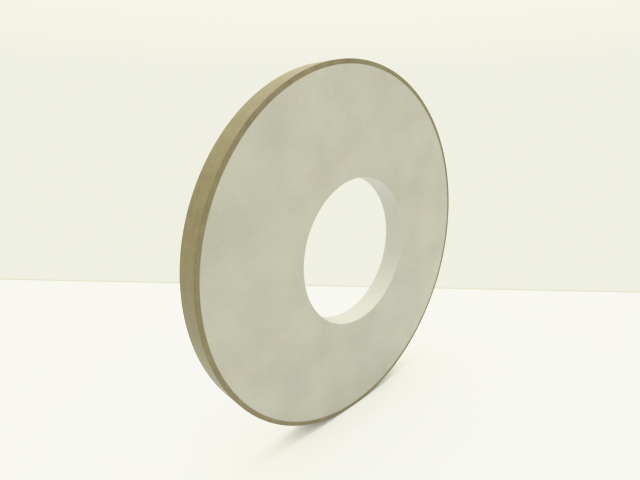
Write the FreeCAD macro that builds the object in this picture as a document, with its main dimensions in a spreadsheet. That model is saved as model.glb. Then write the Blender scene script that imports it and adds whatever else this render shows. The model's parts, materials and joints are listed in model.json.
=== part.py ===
import FreeCAD, Part
import math
import os

import Sketcher

# A straight diamond grinding wheel: a disc core, a thin backing ring of plain bond, and a diamond rim.
# Millimetres. The origin is the centre of the bore, midway between the faces. The wheel spins about Y
# and stands on its rim, with +Z up.

DIMENSIONS = [
    ("wheel_diameter", 304.8, "outside of the diamond rim"),
    ("wheel_width", 19.05, "from face to face"),
    ("bore_diameter", 127.0, "hole through the core"),
    ("bore_chamfer", 0.3, "both ends of the bore"),
    ("diamond_depth", 3.175, "radial depth of the diamond layer"),
    ("rim_chamfer", 0.25, "both outer corners of the diamond layer"),
    ("backing_depth", 0.4, "radial depth of the plain bond under the diamond"),
    ("key_count", 3, "grooves around the core that hold the backing ring"),
    ("key_pitch", 5.5, "from one groove to the next, along the axis"),
    ("key_depth", 1.0, "radial depth of a groove"),
    ("key_mouth", 2.0, "width of a groove at the core's edge"),
    ("key_floor", 2.6, "width of a groove at its floor, undercut so that the bond can't lift out"),
]

BORE_RADIUS = "Sizes.bore_diameter / 2"
RIM_RADIUS = "Sizes.wheel_diameter / 2"
BACKING_RADIUS = f"({RIM_RADIUS} - Sizes.diamond_depth)"
CORE_RADIUS = f"({BACKING_RADIUS} - Sizes.backing_depth)"
KEY_SPAN = "(Sizes.key_pitch * (Sizes.key_count - 1))"

# Sketcher's numbers for a sketch's origin and for the points of a piece of geometry.
ORIGIN, START, END, CENTRE = -1, 1, 2, 3
RADIUS_TOLERANCE = 1e-6

# A small key and two circles, which are drawn first and then pulled to size by the named dimensions.
ROUGH_RADIUS, ROUGH_LOW, ROUGH_MOUTH, ROUGH_FLOOR, ROUGH_DEPTH = 10.0, 4.0, 2.0, 4.0, 1.0
ROUGH_INNER, ROUGH_OUTER = 1.0, 2.0


def make_sizes(doc):
    """The spreadsheet of driving dimensions, one named cell to a row."""
    sheet = doc.addObject("Spreadsheet::Sheet", "Sizes")
    for row, (alias, value, meaning) in enumerate(DIMENSIONS, start=1):
        sheet.set(f"A{row}", alias)
        sheet.set(f"B{row}", str(value))
        sheet.set(f"C{row}", meaning)
        sheet.setAlias(f"B{row}", alias)
    doc.recompute()


def make_body(doc, name):
    body = doc.addObject("PartDesign::Body", name)
    body.Label = name
    return body


def origin_feature(body, role):
    return next(feature for feature in body.Origin.OriginFeatures if feature.Role == role)


def make_sketch(body, name, plane):
    """An empty sketch on one of the body's own origin planes."""
    sketch = body.newObject("Sketcher::SketchObject", name)
    sketch.AttachmentSupport = (origin_feature(body, plane), "")
    sketch.MapMode = "FlatFace"
    return sketch


def bind(sketch, constraint, name, expression):
    """Adds a named dimension that follows the spreadsheet."""
    index = sketch.addConstraint(constraint)
    sketch.renameConstraint(index, name)
    sketch.setExpression(f"Constraints.{name}", expression)


def make_ring(body, name, inner_radius, outer_radius):
    """A flat ring about the Y axis, as wide as the wheel."""
    sketch = make_sketch(body, f"{name}_outline", "XZ_Plane")
    up = FreeCAD.Vector(0, 0, 1)
    circles = (("inner", inner_radius, ROUGH_INNER), ("outer", outer_radius, ROUGH_OUTER))
    for side, expression, rough_radius in circles:
        circle = sketch.addGeometry(Part.Circle(FreeCAD.Vector(), up, rough_radius), False)
        sketch.addConstraint(Sketcher.Constraint("Coincident", circle, CENTRE, ORIGIN, START))
        bind(sketch, Sketcher.Constraint("Radius", circle, rough_radius), f"{side}_radius", expression)
    ring = body.newObject("PartDesign::Pad", f"{name}_pad")
    ring.Profile = sketch
    ring.SideType = "Symmetric"
    ring.setExpression("Length", "Sizes.wheel_width")
    body.Document.recompute()
    return ring


def is_circle(edge, radius):
    curve = edge.Curve
    return isinstance(curve, Part.Circle) and math.isclose(curve.Radius, radius, abs_tol=RADIUS_TOLERANCE)


def chamfer_circles(body, name, base, radius, size):
    """Chamfers the circular edges of one radius, at both faces."""
    numbered = enumerate(base.Shape.Edges, start=1)
    edges = [f"Edge{number}" for number, edge in numbered if is_circle(edge, radius)]
    chamfer = body.newObject("PartDesign::Chamfer", name)
    chamfer.Base = (base, edges)
    chamfer.setExpression("Size", size)
    body.Document.recompute()
    return chamfer


def sketch_key(body, name):
    """The dovetail section of the key nearest the +Y face. X is radial, and the mouth is the core's edge."""
    sketch = make_sketch(body, name, "XY_Plane")
    middle = ROUGH_LOW + ROUGH_MOUTH / 2
    bottom = ROUGH_RADIUS - ROUGH_DEPTH
    corners = [
        FreeCAD.Vector(ROUGH_RADIUS, ROUGH_LOW, 0),
        FreeCAD.Vector(ROUGH_RADIUS, ROUGH_LOW + ROUGH_MOUTH, 0),
        FreeCAD.Vector(bottom, middle + ROUGH_FLOOR / 2, 0),
        FreeCAD.Vector(bottom, middle - ROUGH_FLOOR / 2, 0),
    ]
    lines = [
        sketch.addGeometry(Part.LineSegment(start, end), False)
        for start, end in zip(corners, corners[1:] + corners[:1])
    ]
    mouth, upper_side, floor, lower_side = lines
    for line, following in zip(lines, lines[1:] + lines[:1]):
        sketch.addConstraint(Sketcher.Constraint("Coincident", line, END, following, START))
    sketch.addConstraint(Sketcher.Constraint("Vertical", mouth))
    sketch.addConstraint(Sketcher.Constraint("Vertical", floor))
    sketch.addConstraint(Sketcher.Constraint("Equal", upper_side, lower_side))
    depth = Sketcher.Constraint("DistanceX", floor, START, mouth, START, ROUGH_DEPTH)
    radius = Sketcher.Constraint("DistanceX", ORIGIN, START, mouth, START, ROUGH_RADIUS)
    low = Sketcher.Constraint("DistanceY", ORIGIN, START, mouth, START, ROUGH_LOW)
    bind(sketch, Sketcher.Constraint("Distance", mouth, ROUGH_MOUTH), "mouth", "Sizes.key_mouth")
    bind(sketch, Sketcher.Constraint("Distance", floor, ROUGH_FLOOR), "floor", "Sizes.key_floor")
    bind(sketch, depth, "depth", "Sizes.key_depth")
    bind(sketch, radius, "core_radius", CORE_RADIUS)
    bind(sketch, low, "first_key", f"{KEY_SPAN} / 2 - Sizes.key_mouth / 2")
    return sketch


def make_keys(body, name, feature_type):
    """Turns the key's section about the Y axis, and repeats it across the width."""
    sketch = sketch_key(body, f"{name}_section")
    key = body.newObject(feature_type, f"{name}_turned")
    key.Profile = sketch
    key.ReferenceAxis = (sketch, ["V_Axis"])
    key.Angle = 360
    body.Document.recompute()
    keys = body.newObject("PartDesign::LinearPattern", f"{name}_pattern")
    keys.Originals = [key]
    keys.Direction = (origin_feature(body, "Y_Axis"), [""])
    keys.Reversed = True
    keys.setExpression("Length", KEY_SPAN)
    keys.setExpression("Occurrences", "Sizes.key_count")
    body.Tip = keys
    body.Document.recompute()


def make_core(doc):
    """The disc that carries the rim, with a chamfered bore and undercut grooves around its edge."""
    body = make_body(doc, "core")
    ring = make_ring(body, "core", BORE_RADIUS, CORE_RADIUS)
    chamfer_circles(body, "bore_chamfers", ring, doc.Sizes.bore_diameter / 2, "Sizes.bore_chamfer")
    make_keys(body, "key_groove", "PartDesign::Groove")
    return body


def make_backing_ring(doc):
    """The plain bond between the core and the diamond layer, with ridges that fill the core's grooves."""
    body = make_body(doc, "backing_ring")
    make_ring(body, "backing", CORE_RADIUS, BACKING_RADIUS)
    make_keys(body, "key_ridge", "PartDesign::Revolution")
    return body


def make_diamond_rim(doc):
    """The layer of bonded diamond that grinds, with its outer corners broken."""
    body = make_body(doc, "diamond_rim")
    ring = make_ring(body, "rim", BACKING_RADIUS, RIM_RADIUS)
    body.Tip = chamfer_circles(body, "rim_chamfers", ring, doc.Sizes.wheel_diameter / 2, "Sizes.rim_chamfer")
    return body


def check(doc, bodies):
    """Stops the script if an object failed, or a sub-part isn't one valid solid."""
    failed = [item.Label for item in doc.Objects if {"Invalid", "Error"} & set(item.State)]
    if failed:
        raise RuntimeError(f"these objects failed to compute: {failed}")
    for body in bodies:
        if body.Shape.isNull() or not body.Shape.isValid() or len(body.Shape.Solids) != 1:
            raise RuntimeError(f"{body.Label} isn't one valid solid")


def main():
    doc = FreeCAD.newDocument("diamond_grinding_wheel")
    make_sizes(doc)
    bodies = [make_core(doc), make_backing_ring(doc), make_diamond_rim(doc)]
    doc.recompute()
    check(doc, bodies)
    os.makedirs("parts", exist_ok=True)
    for body in bodies:
        body.Shape.exportStep(f"parts/{body.Label}.step")
        print(f"{body.Label}: {body.Shape.Volume:.1f} mm3")


main()
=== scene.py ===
import json
import math

import bmesh
import bpy
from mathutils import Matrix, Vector


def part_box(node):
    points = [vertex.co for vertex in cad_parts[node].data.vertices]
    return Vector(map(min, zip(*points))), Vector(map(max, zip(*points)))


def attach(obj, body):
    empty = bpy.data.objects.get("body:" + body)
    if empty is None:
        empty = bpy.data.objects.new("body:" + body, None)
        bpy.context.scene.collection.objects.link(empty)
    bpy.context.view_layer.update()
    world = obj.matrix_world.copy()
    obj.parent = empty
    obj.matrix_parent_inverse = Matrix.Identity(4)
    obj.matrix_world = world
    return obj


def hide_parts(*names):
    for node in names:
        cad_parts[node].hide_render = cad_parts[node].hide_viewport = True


# The looks of a straight diamond grinding wheel, in metres, in the frame of its CAD model:
# the wheel stands on its rim and spins about Y, and its front face looks along -Y.

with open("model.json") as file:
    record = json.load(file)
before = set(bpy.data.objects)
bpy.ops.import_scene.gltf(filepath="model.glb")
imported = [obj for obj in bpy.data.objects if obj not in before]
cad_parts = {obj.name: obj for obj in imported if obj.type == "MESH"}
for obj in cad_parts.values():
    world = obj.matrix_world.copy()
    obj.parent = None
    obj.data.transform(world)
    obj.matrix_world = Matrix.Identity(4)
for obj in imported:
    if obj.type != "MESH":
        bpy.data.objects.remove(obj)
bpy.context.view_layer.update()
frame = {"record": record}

MM = 0.001


def mount_dims(name):
    return next(mount["dims"] for mount in frame["record"]["mounts"] if mount["name"] == name)


# ------------------------------------------------------------------ sizes that the frame gives
RIM_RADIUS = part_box("diamond_rim")[1].x
BACKING_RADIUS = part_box("backing_ring")[1].x
CORE_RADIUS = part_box("core")[1].x
HALF_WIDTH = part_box("diamond_rim")[1].y
FLOOR_Z = -RIM_RADIUS
BORE_RADIUS = mount_dims("bore")["r_mm"] * MM
BORE_CHAMFER = HALF_WIDTH - mount_dims("bore")["length_mm"] * MM / 2

# ------------------------------------------------------------------ sizes of the details
RIM_CHAMFER = 0.25 * MM
KEY_COUNT = 3
KEY_PITCH = 5.5 * MM
KEY_DEPTH = 1.0 * MM
KEY_MOUTH = 2.0 * MM
KEY_FLOOR = 2.6 * MM
SEAM_ROUND = 0.05 * MM
EDGE_ROUND = 0.12 * MM

# ------------------------------------------------------------------ mesh density
SEGMENTS = 720
ARC_STEPS = 4
LOOP_SPACING = 6 * MM
EDGE_LOOP = 0.3 * MM
SHARP_ANGLE = math.radians(35)

# ------------------------------------------------------------------ materials
# Sizes are in mm and colours in linear light. A pattern runs from 0 to 1 about MIDDLE, and a weight
# says how much of it goes into a tone, a roughness or a height.
MIDDLE = 0.5
TINT_SHIFT = (400, 150, 250)
CLOUD_DETAIL = 3.0
PLAIN_DETAIL = 2.0
CORE_CLOUD = 34
CORE_TINT_PATCH = 26
CORE_MOTTLE = 2.5
CORE_FLECK = 0.4
CORE_RING = 0.8
CORE_TONE = {"clouds": 1.6, "mottle": 0.6, "flecks": 0.25, "rings": 0.2}
CORE_TINTING = {"tints": 2.4}
CORE_HEIGHT = {"flecks": 0.3, "mottle": 0.6, "rings": 0.4}
CORE_DULLNESS = {"clouds": 0.25, "flecks": 0.1}
CORE_DARK = (0.342, 0.334, 0.291)
CORE_PALE = (0.415, 0.405, 0.357)
CORE_TINT = (0.97, 1.0, 0.985)
CORE_ROUGHNESS = 0.55
CORE_RELIEF = 0.02
CORE_IOR = 1.5
BORE_TONE = {"mottle": 0.8, "flecks": 0.3, "lines": 0.5}
BORE_DARK = (0.397, 0.397, 0.355)
BORE_PALE = (0.444, 0.444, 0.405)
BORE_POLISH = 0.15
BORE_FADE = 0.2
BOND_MOTTLE = 6
BOND_FINE = 0.5
BOND_TONE = {"mottle": 1.2, "fine": 0.5}
BOND_DULLNESS = {"mottle": 0.2}
BOND_DARK = (0.176, 0.148, 0.088)
BOND_PALE = (0.227, 0.190, 0.114)
BOND_ROUGHNESS = 0.4
BOND_RELIEF = 0.01
BOND_IOR = 1.55
GRIT_MOTTLE = 8
GRIT_TINT_PATCH = 12
GRIT_SIZE = 0.25
GRIT_STREAK = 1.5
GRIT_STREAK_STRETCH = (0.06, 1.5, 0.06)
GRIT_TONE = {"mottle": 1.5, "grit": 0.2, "streaks": 0.4}
GRIT_TINTING = {"tints": 2.4}
GRIT_HEIGHT = {"grit": 0.7, "mottle": 0.5, "streaks": 0.5}
GRIT_DULLNESS = {"mottle": 0.2, "grit": 0.15}
GRIT_DARK = (0.168, 0.138, 0.079)
GRIT_PALE = (0.234, 0.197, 0.116)
GRIT_TINT = (0.95, 1.0, 0.97)
# Painted light: a multiplier that makes the rim's flat sides slightly lighter and bluer than its edge,
# for the different light they catch.
GRIT_SIDE_PAINTED_LIGHT = (1.03, 1.05, 1.2)
GRIT_CRYSTALS = (0.93, 0.95)
GRIT_CRYSTAL = (0.290, 0.260, 0.169)
# A darker, smoother line along the rim's two outer corners.
GRIT_CORNER_REACH = 0.5
GRIT_CORNER_DARK = (0.124, 0.101, 0.056)
GRIT_CORNER_SHARE = 0.5
GRIT_CORNER_POLISH = 0.08
GRIT_ROUGHNESS = 0.4
GRIT_RELIEF = 0.03
GRIT_IOR = 1.4
GRIT_SPECULAR = 0.2
TABLE_CLOUD = 90
TABLE_GRAIN = 0.8
TABLE_DARK = (0.725, 0.727, 0.74)
TABLE_PALE = (0.765, 0.767, 0.78)
# Painted shade: the colour of the strip that stands in for the shadow along the table's far edge.
TABLE_SHADE_COLOR = (0.38, 0.38, 0.33)
TABLE_ROUGHNESS = 0.6
TABLE_RELIEF = 0.01
TABLE_IOR = 1.45

# ------------------------------------------------------------------ camera and stage
# The camera stands this many wheel radii out from the centre of the front face.
CAMERA_OUT = (-1.681, -1.395, 0.6743)
CAMERA_HEADING = math.radians(-44.55)
CAMERA_PITCH = math.radians(-15.522)
SENSOR = 36
LENS = 22.775
NEAREST_SEEN = 10 * MM
TABLE_REACH = 6.0
TABLE_DEPTH = 12.0
TABLE_EDGE = 0.6365
TABLE_EDGE_TURN = math.radians(3.1)
# Width of the strip of painted shade along the table's far edge.
TABLE_SHADE_STRIP = 7 * MM
ROOM_COLOR = (1.03, 1.04, 0.913)
CEILING_COLOR = (1.68, 1.66, 1.42)
CEILING_START = 0.1
CEILING_FULL = 0.45
SOFTBOX_SIZE = 1.0
SOFTBOX_PLACE = (0.1, 0.05, 1.5)
SOFTBOX_WATTS = 15.5
SOFTBOX_COLOR = (0.97, 0.99, 1.1)


def rounded(corners):
    """The (radius, y) points of a closed section whose (radius, y, fillet) corners are rounded."""
    points = []
    for index, (radius, y, fillet) in enumerate(corners):
        corner = Vector((radius, y))
        if not fillet:
            points.append(corner)
            continue
        before = (Vector(corners[index - 1][:2]) - corner).normalized()
        after = (Vector(corners[(index + 1) % len(corners)][:2]) - corner).normalized()
        half_angle = before.angle(after) / 2
        centre = corner + (before + after).normalized() * fillet / math.sin(half_angle)
        start, end = (corner + side * fillet / math.tan(half_angle) - centre for side in (before, after))
        first = math.atan2(start.y, start.x)
        sweep = math.remainder(math.atan2(end.y, end.x) - first, 2 * math.pi)
        for step in range(ARC_STEPS + 1):
            angle = first + sweep * step / ARC_STEPS
            points.append(centre + Vector((math.cos(angle), math.sin(angle))) * fillet)
    return points


def with_loops(points):
    """Adds a loop beside each end of every long run, which keeps it flat, and even loops between them."""
    looped = []
    for start, end in zip(points, points[1:] + points[:1]):
        looped.append(start)
        run = end - start
        if run.length <= 2 * EDGE_LOOP:
            continue
        inset = run.normalized() * EDGE_LOOP
        spaces = max(1, round((run.length - 2 * EDGE_LOOP) / LOOP_SPACING))
        first, last = start + inset, end - inset
        looped += [first.lerp(last, space / spaces) for space in range(spaces + 1)]
    return looped


def turned(name, corners):
    """A closed ring about Y, turned from its section."""
    section = with_loops(rounded(corners))
    count = len(section)
    verts = []
    for segment in range(SEGMENTS):
        angle = 2 * math.pi * segment / SEGMENTS
        across, up = math.cos(angle), math.sin(angle)
        verts += [(point.x * across, point.y, point.x * up) for point in section]
    faces = []
    for segment in range(SEGMENTS):
        here, there = segment * count, (segment + 1) % SEGMENTS * count
        for row in range(count):
            after = (row + 1) % count
            faces.append((here + row, there + row, there + after, here + after))
    mesh = bpy.data.meshes.new(name)
    mesh.from_pydata(verts, [], faces)
    shell = bmesh.new()
    shell.from_mesh(mesh)
    bmesh.ops.recalc_face_normals(shell, faces=shell.faces)
    shell.to_mesh(mesh)
    shell.free()
    mesh.shade_smooth()
    mesh.set_sharp_from_angle(angle=SHARP_ANGLE)
    piece = bpy.data.objects.new(name, mesh)
    bpy.context.scene.collection.objects.link(piece)
    return piece


def key_corners():
    """The dovetail keys on the core's edge, from the +Y face to the -Y face."""
    corners = []
    for key in range(KEY_COUNT):
        middle = KEY_PITCH * ((KEY_COUNT - 1) / 2 - key)
        corners += [
            (CORE_RADIUS, middle + KEY_MOUTH / 2, 0),
            (CORE_RADIUS - KEY_DEPTH, middle + KEY_FLOOR / 2, 0),
            (CORE_RADIUS - KEY_DEPTH, middle - KEY_FLOOR / 2, 0),
            (CORE_RADIUS, middle - KEY_MOUTH / 2, 0),
        ]
    return corners


def core_corners():
    wall = HALF_WIDTH - BORE_CHAMFER
    mouth = BORE_RADIUS + BORE_CHAMFER
    return [
        (BORE_RADIUS, -wall, EDGE_ROUND),
        (BORE_RADIUS, wall, EDGE_ROUND),
        (mouth, HALF_WIDTH, EDGE_ROUND),
        (CORE_RADIUS, HALF_WIDTH, SEAM_ROUND),
        *key_corners(),
        (CORE_RADIUS, -HALF_WIDTH, SEAM_ROUND),
        (mouth, -HALF_WIDTH, EDGE_ROUND),
    ]


def backing_corners():
    return [
        (CORE_RADIUS, HALF_WIDTH, SEAM_ROUND),
        (BACKING_RADIUS, HALF_WIDTH, SEAM_ROUND),
        (BACKING_RADIUS, -HALF_WIDTH, SEAM_ROUND),
        (CORE_RADIUS, -HALF_WIDTH, SEAM_ROUND),
        *reversed(key_corners()),
    ]


def rim_corners():
    wall = HALF_WIDTH - RIM_CHAMFER
    shoulder = RIM_RADIUS - RIM_CHAMFER
    return [
        (BACKING_RADIUS, HALF_WIDTH, SEAM_ROUND),
        (shoulder, HALF_WIDTH, EDGE_ROUND),
        (RIM_RADIUS, wall, EDGE_ROUND),
        (RIM_RADIUS, -wall, EDGE_ROUND),
        (shoulder, -HALF_WIDTH, EDGE_ROUND),
        (BACKING_RADIUS, -HALF_WIDTH, SEAM_ROUND),
    ]


class Shader:
    """One material's nodes. Values are numbers, colours or other nodes' outputs. Distances are in mm."""

    def __init__(self, name, **constants):
        self.material = bpy.data.materials.new(name)
        self.material.use_nodes = True
        self.tree = self.material.node_tree
        self.surface = self.tree.nodes["Principled BSDF"]
        for socket, value in constants.items():
            self.surface.inputs[socket].default_value = value
        place = self.tree.nodes.new("ShaderNodeTexCoord").outputs["Object"]
        self.place = self.vector("SCALE", place, Scale=1 / MM)
        flattened = self.vector("MULTIPLY", self.place, (1, 0, 1))
        reach = self.node("ShaderNodeVectorMath", {0: flattened}, operation="LENGTH")
        self.radius = reach.outputs["Value"]
        self.y = self.node("ShaderNodeSeparateXYZ", {"Vector": self.place}).outputs["Y"]

    def feed(self, socket, value):
        if isinstance(value, bpy.types.NodeSocket):
            self.tree.links.new(value, socket)
        elif socket.type == "RGBA":
            socket.default_value = (*value, 1)
        else:
            socket.default_value = value

    def node(self, kind, inputs, **settings):
        made = self.tree.nodes.new(kind)
        for name, value in settings.items():
            setattr(made, name, value)
        for name, value in inputs.items():
            self.feed(made.inputs[name], value)
        return made

    def math(self, operation, *values):
        return self.node("ShaderNodeMath", dict(enumerate(values)), operation=operation).outputs[0]

    def vector(self, operation, *values, **named):
        inputs = {**dict(enumerate(values)), **named}
        return self.node("ShaderNodeVectorMath", inputs, operation=operation).outputs["Vector"]

    def noise(self, place, size, detail=PLAIN_DETAIL):
        """Soft patches about size across."""
        inputs = {"Vector": place, "Scale": 1 / size, "Detail": detail}
        return self.node("ShaderNodeTexNoise", inputs).outputs["Fac"]

    def bands(self, distance, size):
        """Bands about size wide, side by side along a distance."""
        line = self.node("ShaderNodeCombineXYZ", {"X": distance}).outputs["Vector"]
        return self.noise(line, size)

    def grains(self, size):
        """A random number from 0 to 1 in each grain."""
        cells = self.node("ShaderNodeTexVoronoi", {"Vector": self.place, "Scale": 1 / size})
        return self.node("ShaderNodeSeparateColor", {"Color": cells.outputs["Color"]}).outputs["Red"]

    def rise(self, value, start, end):
        """0 up to start, 1 from end on, and a smooth rise between them."""
        inputs = {"Value": value, "From Min": start, "From Max": end}
        return self.node("ShaderNodeMapRange", inputs, interpolation_type="SMOOTHSTEP").outputs["Result"]

    def about(self, base, patterns, weights):
        """base, plus each weight times how far the pattern of that name is from its middle."""
        total = base
        for name, weight in weights.items():
            offset = self.math("SUBTRACT", patterns[name], MIDDLE)
            total = self.math("ADD", total, self.math("MULTIPLY", offset, weight))
        return total

    def mix(self, factor, first, second, blend="MIX"):
        made = self.node("ShaderNodeMix", {}, data_type="RGBA", blend_type=blend)
        for socket in made.inputs:
            if socket.enabled and socket.name in ("Factor", "A", "B"):
                self.feed(socket, {"Factor": factor, "A": first, "B": second}[socket.name])
        return next(socket for socket in made.outputs if socket.enabled)

    def finished(self, color, roughness, height, depth):
        """The material, once its surface has these; height's 0 to 1 is as deep as depth."""
        bump = self.node("ShaderNodeBump", {"Height": height, "Distance": depth * MM}).outputs["Normal"]
        for socket, value in (("Base Color", color), ("Roughness", roughness), ("Normal", bump)):
            self.feed(self.surface.inputs[socket], value)
        return self.material


def core_material():
    """Metal-filled resin: cloudy grey, flecked, faintly ringed by the lathe, and paler where bored."""
    shader = Shader("core_composite", IOR=CORE_IOR)
    elsewhere = shader.vector("ADD", shader.place, TINT_SHIFT)
    patterns = {
        "clouds": shader.noise(shader.place, CORE_CLOUD, CLOUD_DETAIL),
        "tints": shader.noise(elsewhere, CORE_TINT_PATCH),
        "mottle": shader.noise(elsewhere, CORE_MOTTLE),
        "flecks": shader.grains(CORE_FLECK),
        "rings": shader.bands(shader.radius, CORE_RING),
        "lines": shader.bands(shader.y, CORE_RING),
    }
    mouth = (BORE_RADIUS + BORE_CHAMFER) / MM
    bored = shader.math("SUBTRACT", 1, shader.rise(shader.radius, mouth, mouth + BORE_FADE))
    face = shader.mix(shader.about(MIDDLE, patterns, CORE_TONE), CORE_DARK, CORE_PALE)
    face = shader.mix(shader.about(MIDDLE, patterns, CORE_TINTING), face, CORE_TINT, "MULTIPLY")
    wall = shader.mix(shader.about(MIDDLE, patterns, BORE_TONE), BORE_DARK, BORE_PALE)
    color = shader.mix(bored, face, wall)
    dullness = shader.about(CORE_ROUGHNESS, patterns, CORE_DULLNESS)
    roughness = shader.math("SUBTRACT", dullness, shader.math("MULTIPLY", bored, BORE_POLISH))
    height = shader.about(MIDDLE, patterns, CORE_HEIGHT)
    return shader.finished(color, roughness, height, CORE_RELIEF)


def bond_material():
    """Bond without grit: the same brown resin, smooth and even."""
    shader = Shader("plain_bond", IOR=BOND_IOR)
    patterns = {
        "mottle": shader.noise(shader.place, BOND_MOTTLE),
        "fine": shader.noise(shader.place, BOND_FINE),
    }
    color = shader.mix(shader.about(MIDDLE, patterns, BOND_TONE), BOND_DARK, BOND_PALE)
    roughness = shader.about(BOND_ROUGHNESS, patterns, BOND_DULLNESS)
    return shader.finished(color, roughness, patterns["fine"], BOND_RELIEF)


def outer_corner_line(shader):
    """1 at the rim's two outer corners, fading to 0 within the reach of the darker corner line."""
    radius, side = RIM_RADIUS / MM, HALF_WIDTH / MM
    outer = shader.rise(shader.radius, radius - GRIT_CORNER_REACH, radius)
    edge = shader.rise(shader.math("ABSOLUTE", shader.y), side - GRIT_CORNER_REACH, side)
    return shader.math("MULTIPLY", outer, edge)


def flat_side(shader):
    """1 on the rim's flat sides, fading to 0 across its chamfers."""
    side = HALF_WIDTH / MM
    return shader.rise(shader.math("ABSOLUTE", shader.y), side - RIM_CHAMFER / MM, side)


def diamond_material():
    """Bond full of diamond grit: tan, speckled, streaked round its edge and darker at its corners, with
    painted light that tints its flat sides lighter and bluer.
    """
    shader = Shader("diamond_bond", **{"IOR": GRIT_IOR, "Specular IOR Level": GRIT_SPECULAR})
    elsewhere = shader.vector("ADD", shader.place, TINT_SHIFT)
    stretched = shader.vector("MULTIPLY", shader.place, GRIT_STREAK_STRETCH)
    patterns = {
        "mottle": shader.noise(shader.place, GRIT_MOTTLE, CLOUD_DETAIL),
        "tints": shader.noise(elsewhere, GRIT_TINT_PATCH),
        "grit": shader.grains(GRIT_SIZE),
        "streaks": shader.noise(stretched, GRIT_STREAK),
    }
    corner_line = outer_corner_line(shader)
    body = shader.mix(shader.about(MIDDLE, patterns, GRIT_TONE), GRIT_DARK, GRIT_PALE)
    body = shader.mix(shader.about(MIDDLE, patterns, GRIT_TINTING), body, GRIT_TINT, "MULTIPLY")
    # Painted light: the flat sides are tinted lighter and bluer than the edge, standing in for how light
    # falls on them.
    body = shader.mix(flat_side(shader), body, GRIT_SIDE_PAINTED_LIGHT, "MULTIPLY")
    body = shader.mix(shader.rise(patterns["grit"], *GRIT_CRYSTALS), body, GRIT_CRYSTAL)
    # Darker along the rim's two outer corners, and smoother there.
    color = shader.mix(shader.math("MULTIPLY", corner_line, GRIT_CORNER_SHARE), body, GRIT_CORNER_DARK)
    dullness = shader.about(GRIT_ROUGHNESS, patterns, GRIT_DULLNESS)
    roughness = shader.math("SUBTRACT", dullness, shader.math("MULTIPLY", corner_line, GRIT_CORNER_POLISH))
    height = shader.about(MIDDLE, patterns, GRIT_HEIGHT)
    return shader.finished(color, roughness, height, GRIT_RELIEF)


def table_material():
    """Pale laminate, nearly even."""
    shader = Shader("table_white", IOR=TABLE_IOR)
    color = shader.mix(shader.noise(shader.place, TABLE_CLOUD), TABLE_DARK, TABLE_PALE)
    grain = shader.noise(shader.place, TABLE_GRAIN)
    return shader.finished(color, TABLE_ROUGHNESS, grain, TABLE_RELIEF)


def edge_shade_material():
    """Painted shade: a darker strip standing in for the shadow along the table's far edge."""
    shader = Shader("table_edge_painted_shade", IOR=TABLE_IOR)
    grain = shader.noise(shader.place, TABLE_GRAIN)
    return shader.finished(TABLE_SHADE_COLOR, TABLE_ROUGHNESS, grain, TABLE_RELIEF)


def add_piece(name, corners, material):
    piece = turned(f"{name}_surface", corners)
    piece.data.materials.append(material)
    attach(piece, "root")
    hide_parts(name)


def add_table():
    """A pale table top with a strip of painted shade along its far edge, standing in for the shadow
    there, which shows behind the wheel.
    """
    forward = Vector((-math.sin(CAMERA_HEADING), math.cos(CAMERA_HEADING), 0))
    across = Vector((forward.y, -forward.x, 0))
    across -= forward * math.tan(TABLE_EDGE_TURN)
    far = Vector((*camera_place().xy, FLOOR_Z)) + forward * TABLE_EDGE
    rows = (far, far - forward * TABLE_SHADE_STRIP, far - forward * TABLE_DEPTH)
    corners = [row + across * side for row in rows for side in (-TABLE_REACH, TABLE_REACH)]
    mesh = bpy.data.meshes.new("table")
    mesh.from_pydata(corners, [], [(2, 3, 1, 0), (4, 5, 3, 2)])
    # Slot 0 is the painted shade along the far edge, slot 1 the table top.
    mesh.materials.append(edge_shade_material())
    mesh.materials.append(table_material())
    mesh.polygons[1].material_index = 1
    table = bpy.data.objects.new("table", mesh)
    bpy.context.scene.collection.objects.link(table)


def camera_place():
    return Vector(CAMERA_OUT) * RIM_RADIUS + Vector((0, -HALF_WIDTH, 0))


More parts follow.
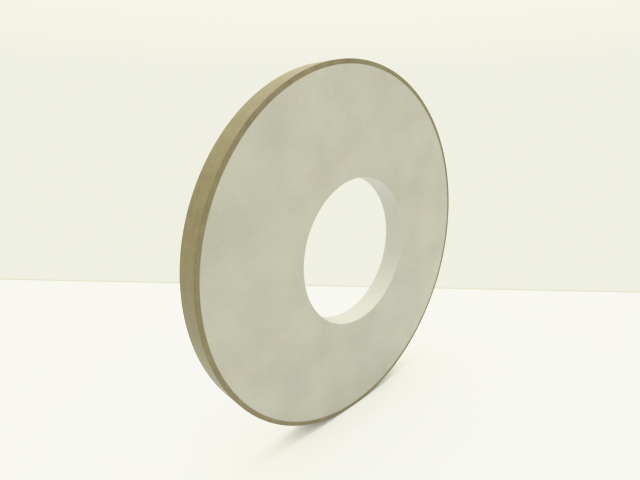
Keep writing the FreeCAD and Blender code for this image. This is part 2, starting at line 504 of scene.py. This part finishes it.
def add_camera():
    data = bpy.data.cameras.new("camera")
    data.sensor_width = SENSOR
    data.lens = LENS
    data.clip_start = NEAREST_SEEN
    camera = bpy.data.objects.new("camera", data)
    camera.location = camera_place()
    camera.rotation_euler = (math.pi / 2 + CAMERA_PITCH, 0, CAMERA_HEADING)
    bpy.context.scene.collection.objects.link(camera)
    bpy.context.scene.camera = camera


def add_sky():
    """A pale room all round, with a brighter ceiling."""
    world = bpy.data.worlds.new("studio")
    world.use_nodes = True
    tree = world.node_tree
    height = tree.nodes.new("ShaderNodeSeparateXYZ")
    rise = tree.nodes.new("ShaderNodeMapRange")
    rise.interpolation_type = "SMOOTHSTEP"
    rise.inputs["From Min"].default_value = CEILING_START
    rise.inputs["From Max"].default_value = CEILING_FULL
    color = tree.nodes.new("ShaderNodeMix")
    color.data_type = "RGBA"
    room, ceiling = (socket for socket in color.inputs if socket.enabled and socket.name in ("A", "B"))
    room.default_value = (*ROOM_COLOR, 1)
    ceiling.default_value = (*CEILING_COLOR, 1)
    tree.links.new(tree.nodes.new("ShaderNodeTexCoord").outputs["Generated"], height.inputs["Vector"])
    tree.links.new(height.outputs["Z"], rise.inputs["Value"])
    tree.links.new(rise.outputs["Result"], color.inputs["Factor"])
    mixed = next(socket for socket in color.outputs if socket.enabled)
    tree.links.new(mixed, tree.nodes["Background"].inputs["Color"])
    bpy.context.scene.world = world
    bpy.context.scene.view_settings.view_transform = "Khronos PBR Neutral"


def add_softbox():
    """The main light, a wide panel overhead."""
    data = bpy.data.lights.new("softbox", "AREA")
    data.shape = "SQUARE"
    data.size = SOFTBOX_SIZE
    data.energy = SOFTBOX_WATTS
    data.color = SOFTBOX_COLOR
    softbox = bpy.data.objects.new("softbox", data)
    softbox.location = SOFTBOX_PLACE
    bpy.context.scene.collection.objects.link(softbox)


add_camera()
add_sky()
add_softbox()
add_table()
add_piece("core", core_corners(), core_material())
add_piece("backing_ring", backing_corners(), bond_material())
add_piece("diamond_rim", rim_corners(), diamond_material())
